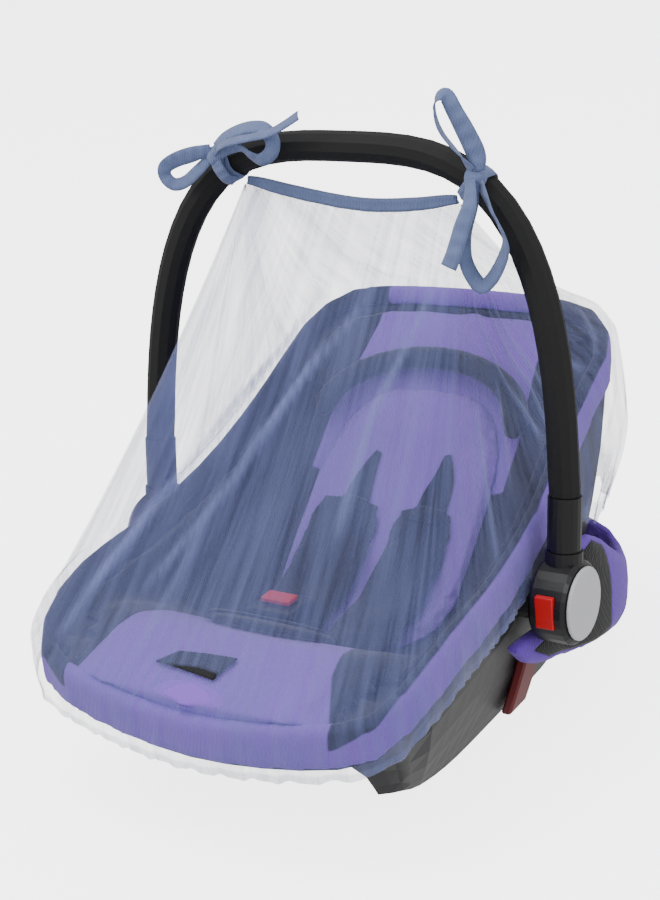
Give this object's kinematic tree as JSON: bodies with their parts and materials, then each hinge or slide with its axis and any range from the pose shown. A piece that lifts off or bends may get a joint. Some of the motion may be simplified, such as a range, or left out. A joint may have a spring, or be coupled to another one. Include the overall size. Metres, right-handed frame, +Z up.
{
  "type": "mesh car seat cover on an infant carrier seat",
  "caption": "Sheer net cover tied in bows to a carrier seat's handle and stretched by elastic over the seat's rim, with the seat beneath it.",
  "frame": {"origin": "centre of the footprint's box, on the surface the seat stands on", "axes": "+Z up, +Y towards the seat's head end, +X to the right seen from the foot end"},
  "size_m": [0.4838, 0.5852, 0.5856],
  "materials": {
    "purple_fabric": "woven polyester with a fine weave",
    "grey_fabric": "matte woven polyester",
    "black_foam": "closed-cell foam grip, matte",
    "grey_plastic": "moulded, fine satin",
    "dark_plastic": "moulded, satin",
    "pale_plastic": "moulded, satin",
    "red_plastic": "moulded, smooth",
    "dark_red_plastic": "moulded, satin",
    "tape": "woven binding tape",
    "net": "sheer mosquito net"
  },
  "bodies": {
    "root": {"belt_guide_left": "dark_red_plastic", "belt_guide_right": "dark_red_plastic", "buckle": "dark_plastic", "buckle_press": "red_plastic", "crotch_pad": "grey_fabric", "crotch_strap": "grey_fabric", "folded_canopy": "purple_fabric", "handle_bar": "black_foam", "handle_leg_left": "dark_plastic", "handle_leg_right": "dark_plastic", "harness_pad_left": "grey_fabric", "harness_pad_right": "grey_fabric", "head_roll": "grey_fabric", "hub_cap_left": "pale_plastic", "hub_cap_right": "pale_plastic", "hub_left": "dark_plastic", "hub_right": "dark_plastic", "infant_insert": "purple_fabric", "net_cover": "net", "release_button_left": "red_plastic", "release_button_right": "red_plastic", "rim_band": "purple_fabric", "seat_liner": "grey_fabric", "seat_shell": "grey_plastic", "tie_left": "tape", "tie_right": "tape", "top_binding": "tape"}
  },
  "joints": []
}
